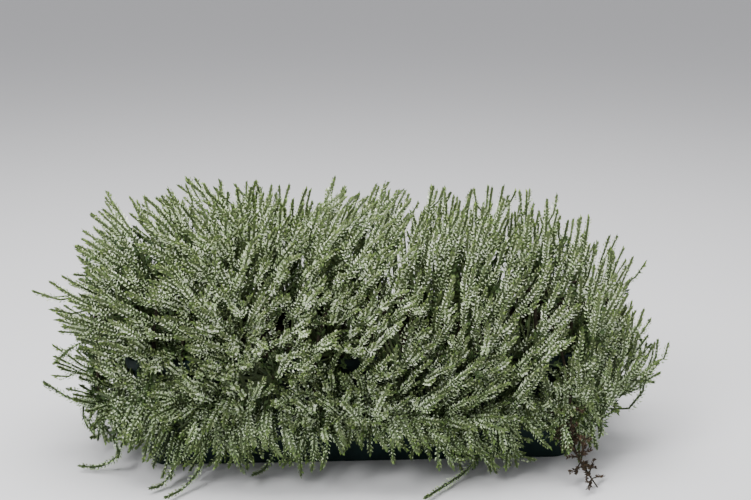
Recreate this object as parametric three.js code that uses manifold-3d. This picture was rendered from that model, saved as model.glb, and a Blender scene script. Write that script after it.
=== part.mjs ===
// Three bud-flowering heathers planted in one oblong planter.
// Millimetres, +Z up, origin at the middle of the planter's flat base; the long side runs along X and the front is -Y.

import * as THREE from 'three';
import { mergeVertices } from 'three/addons/utils/BufferGeometryUtils.js';
import Module from 'manifold-3d';

const wasm = await Module();
wasm.setup();

// ---------------------------------------------------------------- driving dimensions

const GAP = 0.3;                    // between pieces that touch
const SMALLEST_EDGE = 0.001;
const STRAIGHT = 0.02;              // a curve that turns less than this, in radians, counts as straight

// planter: a tapered trough with rounded corners and a thick rim
const PLANTER_HEIGHT = 150;
const BASE_LENGTH = 540;
const BASE_DEPTH = 152;
const TOP_LENGTH = 570;
const TOP_DEPTH = 182;
const BASE_CORNER = 26;
const TOP_CORNER = 34;
const WALL = 3;
const FOOT_BEVEL = 2;
const RIM_WIDTH = 7;                // how far the rim stands out from the wall
const RIM_HEIGHT = 16;
const RIM_BEVEL = 1.5;
const CORNER_STEPS = 3;

// soil
const SOIL_EDGE = 124;
const SOIL_MOUND = 6;
const SOIL_RINGS = [0.8, 0.52, 0.25];
const SOIL_ROUGHNESS = 2.2;

// plants
const PLANTS = [
  { name: 'left', x: -180 },
  { name: 'middle', x: 0 },
  { name: 'right', x: 180 },
];
const CROWN_HEIGHT = 140;           // where the branches part
const TRUNK_RADIUS = 15;            // at the crown, over the branches' roots
const TRUNK_DEPTH = 32;             // how deep the trunk stands in the soil
const TRUNK_SIDES = 7;
const BRANCH_RADIUS = [2.8, 2.6];   // at the crown, in the spray
const BRANCH_SIDES = 3;
const BRANCH_PLACES = [0, 0.34, 0.66, 1]; // of the rings along a branch
const SPREAD_HANGING = 12;          // of the branches' roots round the middle of the crown
const SPREAD_UPRIGHT = 6.5;
const ARCH_HEIGHT = 310;            // control height of the branches that arch over the rim
const BRANCH_BEND = 0.42;           // share of an upright branch that runs the way its spray points
const LEAST_RISE = 0.7;           // of its control point above the crown, as a share of its reach

// the body of the shrub: a rounded block that the tips of all shoots reach
const BODY_CENTRE = new THREE.Vector3(0, -15, 110);
const BODY_LEFT = 385;
const BODY_RIGHT = 370;
const BODY_HALF_DEPTH = 155;
const BODY_RISE = 228;              // from the centre up to the highest tips
const BODY_DROP = 150;              // from the centre down, past the hanging fringe
const SQUARE_LEFT = 5;              // how square the block is seen from the front
const SQUARE_RIGHT = 3;
const SQUARE_SIDE = 2.6;            // and from the side

// how strongly the tips turn up, against pointing straight out
const TURN_UP_LEFT = 0.5;
const TURN_UP_RIGHT = 1.6;
const TURN_UP_REACH = 300;          // distance from the middle at which these hold
const DROOP = -0.25;                // of the fringe's tips
const DROOP_HEIGHTS = [20, 130];    // from full droop to none

// sprays: one leafy mass on each branch, in tiers from the hanging fringe to the top
const TIERS = [
  { height: 76, count: 10, start: 0.02, hangs: true },
  { height: 144, count: 11, start: 0.055, hangs: true },
  { height: 232, count: 11, start: 0.01, hangs: false },
  { height: 306, count: 12, start: 0.04, hangs: false },
];
const SPRAY_JITTER = 10;
const TOP_GATHER = [0.9, 0.25];     // draws the top tier in, in turn, over the middle of the body
const MASS_BACK = 96;               // middle of an upright spray's mass, behind its tips
const MASS_BACK_HANGING = 52;
const MASS_CLEARANCE = 11;          // from the middle of a hanging mass to the planter's rim
const MASS_SIZE = [42, 40, 36];     // half-sizes: along the body, up it, out of it
const MASS_SIZE_HANGING = [50, 44, 15];
const PLANTER_CLEARANCE = 1.5;

// spires: slender bud-covered shoot ends that stand out of the masses
const SPIRE_SPACING = 43;
const SPIRE_LENGTH = 100;
const SPIRE_LENGTH_HANGING = 60;
const SPIRE_REACH = [0.93, 1.03];   // of the body's surface
const SPIRE_SIDES = 3;
const SPIRE_PROFILE = [             // [place along the spire, radius]
  [0, 3], [0.48, 5.6], [0.8, 5.2], [1, 0],
];
const SPIRE_BEND = 0.45;            // share of the spire over which it takes its tip's direction
const SPIRE_BEND_HANGING = 0.2;
const HANG_OUT = 0.55;              // how far hanging spires lean out, for each step down
const ROOT_DEPTH = 0.72;            // how deep a spire's root is sunk into its mass
const LOWEST_TIP = 24;              // of the fringe
const NOTCH_X = 40;                 // where the fringe lifts off the planter's front
const NOTCH_HALF_WIDTH = 130;
const NOTCH_RISE = 40;
const MASS_ABOVE_FRINGE = 8;
const CLEARANCE = 0.35;             // kept between the spires of different sprays
const SHARPEST_TURN = -0.1;         // cosine of the most that a spire may turn from root to tip
const ATTEMPTS = 6;                 // places tried before a spire is left out
const FEWEST_SPIRES = 6;            // on a spray
const MORE_ATTEMPTS = 40;           // places tried to reach that

// long shoots that leave the body, tip last
const STRAYS = [
  { plant: 'left', path: [[-300, -38, 62], [-352, -34, 66], [-410, -30, 98]] },
  { plant: 'left', path: [[-322, -44, 158], [-355, -38, 150], [-388, -32, 122]] },
  { plant: 'left', path: [[-300, -96, 30], [-326, -92, 10], [-352, -88, 9]] },
  { plant: 'left', path: [[-226, -128, 34], [-240, -136, 10], [-256, -146, 9]] },
  { plant: 'left', path: [[-196, -128, 30], [-214, -146, 10], [-234, -168, 9]] },
  { plant: 'left', path: [[-108, -118, 40], [-122, -116, 14], [-136, -120, 9]] },
  { plant: 'right', path: [[150, -118, 40], [118, -132, 9], [70, -180, 8]] },
  { plant: 'right', path: [[322, -34, 82], [350, -30, 84], [384, -28, 80]] },
];
const STRAY_STEM = 1.8;
const DEAD_SHOOT = [[180, 0, 142], [224, -76, 196], [252, -124, 128], [262, -132, 44], [280, -168, 8]];
const DEAD_PROFILE = [[0, 3], [0.3, 2.4], [0.55, 2.2], [0.7, 4.6], [0.8, 2.6], [0.9, 4.2], [1, 0]];

// ---------------------------------------------------------------- small tools

const UP = new THREE.Vector3(0, 0, 1);
const vec = (x, y, z) => new THREE.Vector3(x, y, z);
const mix = THREE.MathUtils.lerp;

function makeRandom(seed) {
  let state = seed >>> 0;
  return () => {
    state = (Math.imul(state, 1664525) + 1013904223) >>> 0;
    return state / 4294967296;
  };
}

// A closed skin over rings of points; a ring of one point closes to an apex.
function loft(rings) {
  const positions = [];
  const faces = [];
  const starts = rings.map((ring) => {
    const start = positions.length / 3;
    ring.forEach((p) => positions.push(p.x, p.y, p.z));
    return start;
  });
  for (let k = 0; k + 1 < rings.length; k++) {
    const count = Math.max(rings[k].length, rings[k + 1].length);
    const at = (ring, i) => starts[ring] + (rings[ring].length === 1 ? 0 : i % count);
    for (let i = 0; i < count; i++) {
      if (rings[k].length > 1) faces.push(at(k, i), at(k, i + 1), at(k + 1, i + 1));
      if (rings[k + 1].length > 1) faces.push(at(k, i), at(k + 1, i + 1), at(k + 1, i));
    }
  }
  const last = rings.length - 1;
  for (let i = 1; i + 1 < rings[0].length; i++) faces.push(starts[0], starts[0] + i + 1, starts[0] + i);
  for (let i = 1; i + 1 < rings[last].length; i++) {
    faces.push(starts[last], starts[last] + i, starts[last] + i + 1);
  }
  const geometry = new THREE.BufferGeometry();
  geometry.setAttribute('position', new THREE.Float32BufferAttribute(positions, 3));
  geometry.setIndex(faces);
  return geometry;
}

function toSolid(geometry) {
  geometry.deleteAttribute('normal');
  geometry.deleteAttribute('uv');
  const merged = mergeVertices(geometry, SMALLEST_EDGE);
  return new wasm.Manifold(new wasm.Mesh({
    numProp: 3,
    vertProperties: new Float32Array(merged.getAttribute('position').array),
    triVerts: new Uint32Array(merged.getIndex().array),
  }));
}

function toGeometry(solid) {
  const mesh = solid.getMesh();
  const geometry = new THREE.BufferGeometry();
  geometry.setAttribute('position', new THREE.Float32BufferAttribute(mesh.vertProperties, 3));
  geometry.setIndex(Array.from(mesh.triVerts));
  const flat = geometry.toNonIndexed();
  flat.computeVertexNormals();
  return flat;
}

// The largest body of a solid, without loose scraps.
function mainBody(solid) {
  return solid.decompose().reduce((best, body) => (body.volume() > best.volume() ? body : best));
}

// The geometry of a solid's largest body that stays one body when its near vertices are merged.
function cleanGeometry(solid) {
  let geometry = toGeometry(mainBody(solid.simplify(SMALLEST_EDGE * 20)));
  let merged = toSolid(geometry.clone());
  while (merged.decompose().length > 1) {
    geometry = toGeometry(mainBody(merged));
    merged = toSolid(geometry.clone());
  }
  return geometry;
}

// A tapered tube: rings across a curve at the places and radii of a profile, each turned on from the last.
function taperedTube(curve, profile, { sides, turn = 0, twist = 0, grow = 0 }) {
  const start = curve.getTangent(0);
  const reference = start.clone().cross(curve.getTangent(1));
  if (reference.length() < STRAIGHT) reference.set(start.z, start.x, start.y);
  const rings = profile.map(([place, radius], k) => {
    const centre = curve.getPoint(place);
    const along = curve.getTangent(place);
    if (radius === 0) return [centre.addScaledVector(along, grow * 2)];
    reference.addScaledVector(along, -reference.dot(along)).normalize();
    const other = along.clone().cross(reference);
    return Array.from({ length: sides }, (_, i) => {
      const angle = turn + k * twist + (i / sides) * Math.PI * 2;
      return centre.clone()
        .addScaledVector(reference, Math.cos(angle) * (radius + grow))
        .addScaledVector(other, Math.sin(angle) * (radius + grow));
    });
  });
  return toSolid(loft(rings));
}

const boxed = (solid) => ({ solid, box: solid.boundingBox() });
const touches = (a, b) => [0, 1, 2].every((k) => a.min[k] < b.max[k] && b.min[k] < a.max[k]);

function isClear(solid, items) {
  const box = solid.boundingBox();
  return items.every((item) => !touches(item.box, box) || item.solid.intersect(solid).isEmpty());
}

function cutBy(solid, tools) {
  const box = solid.boundingBox();
  return tools.reduce((body, tool) => (touches(box, tool.box) ? body.subtract(tool.solid) : body), solid);
}

// ---------------------------------------------------------------- planter and soil

function roundedRing(length, depth, corner, z) {
  const ring = [];
  const quarters = [[1, 1], [-1, 1], [-1, -1], [1, -1]];
  quarters.forEach(([sx, sy], quarter) => {
    for (let i = 0; i <= CORNER_STEPS; i++) {
      const angle = (quarter + i / CORNER_STEPS) * Math.PI / 2;
      ring.push(vec(
        sx * (length / 2 - corner) + corner * Math.cos(angle),
        sy * (depth / 2 - corner) + corner * Math.sin(angle),
        z,
      ));
    }
  });
  return ring;
}

// The wall's outline at a height, moved inwards by inset.
function wallRing(z, inset) {
  const rise = z / PLANTER_HEIGHT;
  return roundedRing(
    mix(BASE_LENGTH, TOP_LENGTH, rise) - 2 * inset,
    mix(BASE_DEPTH, TOP_DEPTH, rise) - 2 * inset,
    mix(BASE_CORNER, TOP_CORNER, rise) - inset,
    z,
  );
}

function planterGeometry() {
  const rimBottom = PLANTER_HEIGHT - RIM_HEIGHT;
  const rimTop = PLANTER_HEIGHT - RIM_BEVEL;
  return loft([
    wallRing(0, FOOT_BEVEL),
    wallRing(FOOT_BEVEL, 0),
    wallRing(rimBottom, 0),
    wallRing(rimBottom, -RIM_WIDTH),
    wallRing(rimTop, -RIM_WIDTH),
    wallRing(PLANTER_HEIGHT, -RIM_WIDTH + RIM_BEVEL),
    wallRing(PLANTER_HEIGHT, WALL),
    wallRing(WALL, WALL),
  ]);
}

function soilSolid(trunks) {
  const random = makeRandom(5);
  const edge = wallRing(SOIL_EDGE, WALL + GAP);
  const top = SOIL_EDGE + SOIL_MOUND;
  const mound = SOIL_RINGS.map((share) => edge.map((p) => {
    const z = mix(top, SOIL_EDGE, share * share) + (random() - 0.5) * 2 * SOIL_ROUGHNESS;
    return vec(p.x * share, p.y * share, z);
  }));
  const rings = [wallRing(WALL + GAP, WALL + GAP), edge, ...mound, [vec(0, 0, top)]];
  return cutBy(toSolid(loft(rings)), trunks.map(boxed));
}

// ---------------------------------------------------------------- the shrub's form

// Below 1 inside the body of the shrub, 1 on its surface.
function bodyShare(point) {
  const p = point.clone().sub(BODY_CENTRE);
  const across = Math.abs(p.x) / (p.x < 0 ? BODY_LEFT : BODY_RIGHT);
  const high = Math.abs(p.z) / (p.z < 0 ? BODY_DROP : BODY_RISE);
  const square = p.x < 0 ? SQUARE_LEFT : SQUARE_RIGHT;
  const front = Math.pow(Math.pow(across, square) + Math.pow(high, square), SQUARE_SIDE / square);
  const deep = Math.pow(Math.abs(p.y) / BODY_HALF_DEPTH, SQUARE_SIDE);
  return Math.pow(front + deep, 1 / SQUARE_SIDE);
}

function ontoBody(point, share = 1) {
  return point.clone().sub(BODY_CENTRE).multiplyScalar(share / bodyShare(point)).add(BODY_CENTRE);
}

function outward(point) {
  const slope = (axis) => bodyShare(point.clone().add(axis)) - bodyShare(point.clone().sub(axis));
  return vec(slope(vec(1, 0, 0)), slope(vec(0, 1, 0)), slope(UP)).normalize();
}

// The way a shoot's tip points at a place on the body.
function tipDirection(point) {
  const side = THREE.MathUtils.clamp(point.x / TURN_UP_REACH, -1, 1);
  const upright = side < 0 ? mix(1, TURN_UP_LEFT, -side) : mix(1, TURN_UP_RIGHT, side);
  const height = THREE.MathUtils.smoothstep(point.z, ...DROOP_HEIGHTS);
  return outward(point).addScaledVector(UP, upright * mix(DROOP, 1, height)).normalize();
}

// How low the hanging tips reach: higher in front of the planter's middle, where its wall shows.
function fringeHeight(point) {
  const notch = Math.max(0, 1 - Math.abs(point.x - NOTCH_X) / NOTCH_HALF_WIDTH);
  return LOWEST_TIP + (point.y < BODY_CENTRE.y ? NOTCH_RISE * notch : 0);
}

// The body's outline at one height.
function levelOutline(height) {
  const steps = 240;
  return Array.from({ length: steps + 1 }, (_, i) => {
    const angle = (i / steps) * Math.PI * 2;
    const aim = vec(Math.cos(angle) * BODY_LEFT, Math.sin(angle) * BODY_HALF_DEPTH, 0);
    let low = 0;
    let high = 1.5;
    const at = (share) => vec(aim.x * share, BODY_CENTRE.y + aim.y * share, height);
    for (let k = 0; k < 20; k++) {
      const middle = (low + high) / 2;
      if (bodyShare(at(middle)) < 1) low = middle;
      else high = middle;
    }
    return at(low);
  });
}

// Places spread evenly along a closed line of points, the first a share of a step in.
function spread(line, count, start) {
  const lengths = [0];
  for (let i = 1; i < line.length; i++) lengths.push(lengths[i - 1] + line[i].distanceTo(line[i - 1]));
  return Array.from({ length: count }, (_, k) => {
    const target = ((k / count + start) % 1) * lengths.at(-1);
    return line[lengths.findIndex((length) => length >= target)].clone();
  });
}

// Places spread evenly over the whole body, in rows from the fringe to the top.
function bodyPlaces(spacing, lowest) {
  const places = [];
  const profile = (angle) => vec(
    0,
    Math.cos(angle) ** (2 / SQUARE_SIDE) * BODY_HALF_DEPTH,
    BODY_CENTRE.z + Math.sin(angle) ** (2 / SQUARE_SIDE) * BODY_RISE,
  );
  const heights = [];
  for (let z = lowest; z < BODY_CENTRE.z; z += spacing) heights.push(z);
  let last = profile(0);
  for (let angle = 0.01; angle < Math.PI / 2; angle += 0.01) {
    const next = profile(angle);
    if (next.distanceTo(last) >= spacing || heights.length === 0) {
      heights.push(next.z);
      last = next;
    }
  }
  heights.forEach((height, row) => {
    const line = levelOutline(height);
    const around = line.reduce((sum, p, i) => (i ? sum + p.distanceTo(line[i - 1]) : 0), 0);
    const count = Math.max(4, Math.round(around / spacing));
    places.push(...spread(line, count, (row % 2) * 0.5 / count));
  });
  return places;
}

// ---------------------------------------------------------------- sprays

// Moves a point level, away from the planter until it is clear of the rim.
function clearOfRim(point) {
  const overX = Math.abs(point.x) - (TOP_LENGTH / 2 + RIM_WIDTH + MASS_CLEARANCE);
  const overY = Math.abs(point.y) - (TOP_DEPTH / 2 + RIM_WIDTH + MASS_CLEARANCE);
  if (overX >= 0 || overY >= 0) return point;
  if (overX > overY) point.x -= Math.sign(point.x) * overX;
  else point.y -= Math.sign(point.y) * overY;
  return point;
}

// The middle of a spray's mass and the branch that carries it.
function makeSpray(tip, hangs) {
  const plant = PLANTS.reduce((a, b) => (Math.abs(b.x - tip.x) < Math.abs(a.x - tip.x) ? b : a));
  const root = vec(tip.x - plant.x, tip.y, 0).setLength(hangs ? SPREAD_HANGING : SPREAD_UPRIGHT);
  const crown = vec(plant.x, 0, CROWN_HEIGHT).add(root);
  if (hangs) {
    const out = outward(tip).setZ(0).normalize();
    const middle = clearOfRim(tip.clone().addScaledVector(out, -MASS_BACK_HANGING));
    const curve = new THREE.QuadraticBezierCurve3(crown, middle.clone().setZ(ARCH_HEIGHT), middle);
    return { plant, hangs, middle, curve, out, size: MASS_SIZE_HANGING };
  }
  const direction = tipDirection(tip);
  const middle = tip.clone().addScaledVector(direction, -MASS_BACK);
  const reach = middle.distanceTo(crown);
  const control = middle.clone().addScaledVector(direction, -BRANCH_BEND * reach);
  control.z = Math.max(control.z, CROWN_HEIGHT + LEAST_RISE * reach);
  const curve = new THREE.QuadraticBezierCurve3(crown, control, middle);
  return { plant, hangs, middle, curve, out: outward(tip), size: MASS_SIZE };
}

function makeSprays() {
  const random = makeRandom(11);
  const jitter = () => (random() - 0.5) * 2 * SPRAY_JITTER;
  return TIERS.flatMap((tier) => {
    const places = spread(levelOutline(tier.height), tier.count, tier.start);
    return places.map((place, k) => {
      const moved = place.add(vec(jitter(), jitter(), jitter()));
      if (tier === TIERS.at(-1)) moved.y = mix(BODY_CENTRE.y, moved.y, TOP_GATHER[k % 2]);
      return makeSpray(ontoBody(moved), tier.hangs);
    });
  });
}

// The directions along the body, up it and out of it at a spray.
function massAxes(spray) {
  const along = UP.clone().cross(spray.out).normalize();
  return [along, spray.out.clone().cross(along).normalize(), spray.out.clone()];
}

// A spray's leafy mass: a rough lump, its sides cut flat against its neighbours'.
function massSolid(spray, sprays, random) {
  const lump = spray.hangs ? new THREE.OctahedronGeometry(1) : new THREE.IcosahedronGeometry(1);
  const turn = new THREE.Matrix4().makeRotationAxis(vec(1, 1, 1).normalize(), random() * Math.PI * 2);
  const axes = massAxes(spray).map((axis, i) => axis.multiplyScalar(spray.size[i]));
  const frame = new THREE.Matrix4().makeBasis(...axes).setPosition(spray.middle);
  lump.applyMatrix4(turn).applyMatrix4(frame);
  const whole = sprays.reduce((mass, other) => {
    const apart = other.middle.clone().sub(spray.middle);
    const distance = apart.length();
    if (other === spray || distance > 2 * MASS_SIZE[0]) return mass;
    apart.divideScalar(distance);
    const cut = apart.dot(spray.middle) + distance / 2 - GAP;
    return mass.trimByPlane(apart.clone().negate().toArray(), -cut);
  }, toSolid(lump));
  if (!spray.hangs) return whole.trimByPlane(UP.toArray(), PLANTER_HEIGHT + PLANTER_CLEARANCE);
  const { x, y } = spray.middle;
  const edge = [TOP_LENGTH, TOP_DEPTH].map((size) => size / 2 + RIM_WIDTH + PLANTER_CLEARANCE);
  const beyondEnd = Math.abs(x) - edge[0] > Math.abs(y) - edge[1];
  const side = beyondEnd ? [Math.sign(x), 0, 0] : [0, Math.sign(y), 0];
  return whole
    .trimByPlane(side, beyondEnd ? edge[0] : edge[1])
    .trimByPlane(UP.toArray(), fringeHeight(spray.middle) - MASS_ABOVE_FRINGE);
}

// ---------------------------------------------------------------- spires

// Where a spire's root would lie: straight behind an upright tip, above a hanging one.
function rootBehind(tip) {
  const hanging = outward(tip).multiplyScalar(HANG_OUT).addScaledVector(UP, -1).normalize();
  const height = THREE.MathUtils.smoothstep(tip.z, ...DROOP_HEIGHTS);
  const length = mix(SPIRE_LENGTH_HANGING, SPIRE_LENGTH, height);
  return tip.clone().addScaledVector(hanging.lerp(tipDirection(tip), height).normalize(), -length);
}

// The line of one spire, from its root in a mass to its tip.
function spireCurve(spray, tip) {
  const bend = spray.hangs ? SPIRE_BEND_HANGING : SPIRE_BEND;
  const control = tip.clone().addScaledVector(tipDirection(tip), -bend * SPIRE_LENGTH);
  return new THREE.QuadraticBezierCurve3(rootIn(spray, rootBehind(tip)), control, tip);
}

// The point itself where it lies deep enough in a spray's mass, or the nearest that does towards its middle.
function rootIn(spray, point) {
  const offset = point.clone().sub(spray.middle);
  if (spray.hangs) offset.addScaledVector(spray.out, -Math.min(0, offset.dot(spray.out)));
  const share = Math.hypot(...massAxes(spray).map((axis, i) => offset.dot(axis) / spray.size[i]));
  return spray.middle.clone().addScaledVector(offset, Math.min(1, ROOT_DEPTH / share));
}

// A long shoot: a bare stem, then an ordinary spire.
function strayProfile(curve) {
  const bare = Math.max(0, 1 - SPIRE_LENGTH / curve.getLength());
  const stem = [[0, STRAY_STEM], [bare / 2, STRAY_STEM], [bare, STRAY_STEM]];
  return [...stem, ...SPIRE_PROFILE.slice(1).map(([place, r]) => [mix(bare, 1, place), r])];
}

// Grows the spires on the sprays. One that would touch another spray is moved along until it is clear.
function growSpires(sprays, fixed) {
  const taken = [...fixed];
  sprays.forEach((spray) => taken.push({ ...boxed(spray.mass), owner: spray }));

  const grow = (spray, curve, profile, turn) => {
    if (curve.getTangent(0).dot(curve.getTangent(1)) < SHARPEST_TURN) return false;
    const shape = (grown) => taperedTube(
      curve,
      profile,
      { sides: SPIRE_SIDES, turn, twist: -Math.PI / SPIRE_SIDES, grow: grown },
    );
    const others = taken.filter((item) => item.owner !== spray);
    const spire = shape(0);
    if (!isClear(shape(CLEARANCE), others) || !isClear(spire, others)) return false;
    spray.spires.push(spire);
    taken.push({ ...boxed(spire), owner: spray });
    return true;
  };

  STRAYS.forEach(({ plant, path }) => {
    const points = path.map((p) => vec(...p));
    sprays.filter((spray) => spray.plant.name === plant)
      .sort((a, b) => a.middle.distanceTo(points[0]) - b.middle.distanceTo(points[0]))
      .slice(0, 3)
      .some((spray) => {
        const curve = new THREE.CatmullRomCurve3([rootIn(spray, points[0]), ...points]);
        return grow(spray, curve, strayProfile(curve), 0);
      });
  });

  const random = makeRandom(23);
  const tipNear = (place, range) => {
    const wobble = () => (random() - 0.5) * 2 * range;
    const tip = ontoBody(place.clone().add(vec(wobble(), wobble(), wobble())), mix(...SPIRE_REACH, random()));
    tip.z = Math.max(tip.z, fringeHeight(tip));
    return tip;
  };
  const growTo = (spray, tip) => grow(spray, spireCurve(spray, tip), SPIRE_PROFILE, random() * Math.PI);

  bodyPlaces(SPIRE_SPACING, LOWEST_TIP).forEach((place) => {
    for (let attempt = 0; attempt < ATTEMPTS; attempt++) {
      const tip = tipNear(place, SPIRE_SPACING / 4);
      const root = rootBehind(tip);
      const nearest = sprays.toSorted((a, b) => a.middle.distanceTo(root) - b.middle.distanceTo(root));
      if (growTo(nearest[attempt % 2], tip)) break;
    }
  });

  // sprays that have few spires so far get more, over their own masses
  sprays.forEach((spray) => {
    for (let attempt = 0; attempt < MORE_ATTEMPTS && spray.spires.length < FEWEST_SPIRES; attempt++) {
      growTo(spray, tipNear(spray.middle, spray.size[0]));
    }
  });
}

// ---------------------------------------------------------------- wood

function trunkSolid(plant, grow) {
  const line = new THREE.LineCurve3(
    vec(plant.x, 0, SOIL_EDGE + SOIL_MOUND - TRUNK_DEPTH - grow),
    vec(plant.x, 0, CROWN_HEIGHT + 4),
  );
  const profile = [[0, TRUNK_RADIUS * 0.7], [0.6, TRUNK_RADIUS * 0.8], [1, TRUNK_RADIUS]];
  return taperedTube(line, profile, { sides: TRUNK_SIDES, grow });
}

function woodSolid(plant, sprays, grow = 0) {
  const [thick, thin] = BRANCH_RADIUS;
  const profile = BRANCH_PLACES.map((place) => [place, mix(thick, thin, place)]);
  const branches = sprays.filter((spray) => spray.plant === plant)
    .map((spray) => taperedTube(spray.curve, profile, { sides: BRANCH_SIDES, grow }));
  if (plant.name === 'right') {
    const dead = new THREE.CatmullRomCurve3(DEAD_SHOOT.map((p) => vec(...p)));
    branches.push(taperedTube(dead, DEAD_PROFILE, { sides: BRANCH_SIDES, grow }));
  }
  return branches.reduce((wood, branch) => wood.add(branch), trunkSolid(plant, grow));
}

// ---------------------------------------------------------------- scene graph

const MATERIALS = {
  planter: new THREE.MeshStandardMaterial({ color: 0x1d3a35, roughness: 0.45 }),
  soil: new THREE.MeshStandardMaterial({ color: 0x33271d, roughness: 0.95 }),
  wood: new THREE.MeshStandardMaterial({ color: 0x5b4636, roughness: 0.85 }),
  spray: new THREE.MeshStandardMaterial({ color: 0xaab894, roughness: 0.7 }),
};

function named(name, geometry, material) {
  const mesh = new THREE.Mesh(geometry, material);
  mesh.name = name;
  return mesh;
}

const planter = planterGeometry();
const soil = soilSolid(PLANTS.map((plant) => trunkSolid(plant, GAP)));
const sprays = makeSprays();
const woods = PLANTS.map((plant) => mainBody(woodSolid(plant, sprays)));
const grownWood = PLANTS.map((plant) => boxed(woodSolid(plant, sprays, BRANCH_SIDES * GAP)));
const lumpTurns = makeRandom(31);
sprays.forEach((spray) => {
  const mass = massSolid(spray, sprays, lumpTurns);
  spray.mass = mainBody(cutBy(mass, grownWood));
  spray.spires = [];
});
growSpires(sprays, [toSolid(planter), soil, ...woods].map(boxed));

const heather = new THREE.Group();
heather.add(named('planter', planter, MATERIALS.planter));
heather.add(named('soil', toGeometry(soil), MATERIALS.soil));
PLANTS.forEach((plant, i) => {
  const group = new THREE.Group();
  group.add(named(`${plant.name}_woody_stems`, toGeometry(woods[i]), MATERIALS.wood));
  sprays.filter((spray) => spray.plant === plant).forEach((spray, k) => {
    const whole = spray.spires.reduce((body, spire) => body.add(spire), spray.mass);
    const geometry = cleanGeometry(whole);
    const number = String(k + 1).padStart(2, '0');
    group.add(named(`${plant.name}_spray_${number}`, geometry, MATERIALS.spray));
  });
  heather.add(group);
});

export default heather;
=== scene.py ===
"""A potted heather: fine budded shoots, branches, compost and trough, placed by the frame's own rules."""
import math
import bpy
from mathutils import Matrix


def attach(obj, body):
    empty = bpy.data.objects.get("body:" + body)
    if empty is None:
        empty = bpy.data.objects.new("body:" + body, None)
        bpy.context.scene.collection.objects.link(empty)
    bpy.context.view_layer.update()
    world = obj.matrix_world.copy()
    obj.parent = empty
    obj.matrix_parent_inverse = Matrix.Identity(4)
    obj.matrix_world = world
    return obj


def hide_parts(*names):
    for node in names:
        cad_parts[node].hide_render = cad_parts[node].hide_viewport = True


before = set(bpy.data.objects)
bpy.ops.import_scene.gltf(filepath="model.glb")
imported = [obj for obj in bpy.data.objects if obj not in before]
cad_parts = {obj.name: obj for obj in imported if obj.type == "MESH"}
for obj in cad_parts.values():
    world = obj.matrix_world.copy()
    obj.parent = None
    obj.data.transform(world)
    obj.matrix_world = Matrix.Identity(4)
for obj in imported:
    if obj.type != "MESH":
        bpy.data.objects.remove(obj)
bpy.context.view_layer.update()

from types import SimpleNamespace

import bpy
import numpy as np
from mathutils import Vector

MM = 0.001
STEEP = 0.8                     # the rise or fall of a direction that counts as nearly upright

# ------------------------------------------------------------ sizes shared with the frame, in millimetres

PLANTER_HEIGHT = 150
BASE_LENGTH, BASE_DEPTH, BASE_CORNER = 540, 152, 26
TOP_LENGTH, TOP_DEPTH, TOP_CORNER = 570, 182, 34
WALL = 3
RIM_WIDTH, RIM_HEIGHT = 7, 16
SOIL_EDGE, SOIL_MOUND = 124, 6  # the compost's height at the wall, and its rise to the middle

PLANTS = {"left": -180, "middle": 0, "right": 180}   # where each crown stands, along x
CROWN_HEIGHT = 140
TRUNK_RADIUS, TRUNK_DEPTH = 15, 32
BRANCH_RADIUS = (2.8, 2.6)      # at the crown and at the spray
SPREAD_HANGING, SPREAD_UPRIGHT = 12, 6.5   # from the crown's middle to where branches start
ARCH_HEIGHT = 310               # of the curves that carry branches over the rim
BRANCH_BEND, LEAST_RISE = 0.42, 0.7   # of the others, as shares of their reach

BODY_CENTRE = np.array([0.0, -15.0, 110.0])   # of the rounded form that the shrub fills
BODY_LEFT, BODY_RIGHT, BODY_HALF_DEPTH = 385, 370, 155
BODY_RISE, BODY_DROP = 228, 150
SQUARE_LEFT, SQUARE_RIGHT, SQUARE_SIDE = 5, 3, 2.6   # 2 would be an ellipse
TURN_UP_LEFT, TURN_UP_RIGHT, TURN_UP_REACH = 0.5, 1.6, 300   # how upright both ends are
DROOP, DROOP_HEIGHTS = -0.25, (20, 130)   # and how the lowest part hangs
OUTLINE_STEPS, OUTLINE_FURTHEST, OUTLINE_HALVINGS = 240, 1.5, 20

TIERS = [                       # height, count, start, hangs
    (76, 10, 0.02, True),
    (144, 11, 0.055, True),
    (232, 11, 0.01, False),
    (306, 12, 0.04, False),
]
SPRAY_SEED, SPRAY_JITTER = 11, 10
DRAW_FACTOR, DRAW_STEP, DRAW_RANGE = 1664525, 1013904223, 2**32   # of the frame's random numbers
TOP_GATHER = (0.9, 0.25)        # how far from the middle every other spray of the top tier stays
MASS_BACK, MASS_BACK_HANGING = 96, 52   # from a spray's tip to the middle of its heart
MASS_CLEARANCE = 11             # from the rim to the middle of a hanging heart
MASS_SIZE, MASS_SIZE_HANGING = (42, 40, 36), (50, 44, 15)

SHOOT_LENGTH, SHOOT_LENGTH_HANGING, HANG_OUT = 100, 60, 0.55
ROOT_DEPTH = 0.72               # share of a heart's size within which shoots are rooted
LOWEST_TIP = 24
NOTCH_X, NOTCH_HALF_WIDTH, NOTCH_RISE = 40, 130, 40   # where the front fringe is higher

STRAYS = [                      # trailing and stray shoots: their plant and the places they pass
    ("left", [(-300, -38, 62), (-352, -34, 66), (-410, -30, 98)]),
    ("left", [(-322, -44, 158), (-355, -38, 150), (-388, -32, 122)]),
    ("left", [(-300, -96, 30), (-326, -92, 10), (-352, -88, 9)]),
    ("left", [(-226, -128, 34), (-240, -136, 10), (-256, -146, 9)]),
    ("left", [(-196, -128, 30), (-214, -146, 10), (-234, -168, 9)]),
    ("left", [(-108, -118, 40), (-122, -116, 14), (-136, -120, 9)]),
    ("right", [(150, -118, 40), (118, -132, 9), (70, -180, 8)]),
    ("right", [(322, -34, 82), (350, -30, 84), (384, -28, 80)]),
]
DEAD_SHOOT = [(180, 0, 142), (222, -70, 190), (247, -112, 128), (257, -126, 48), (278, -166, 9)]

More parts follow.
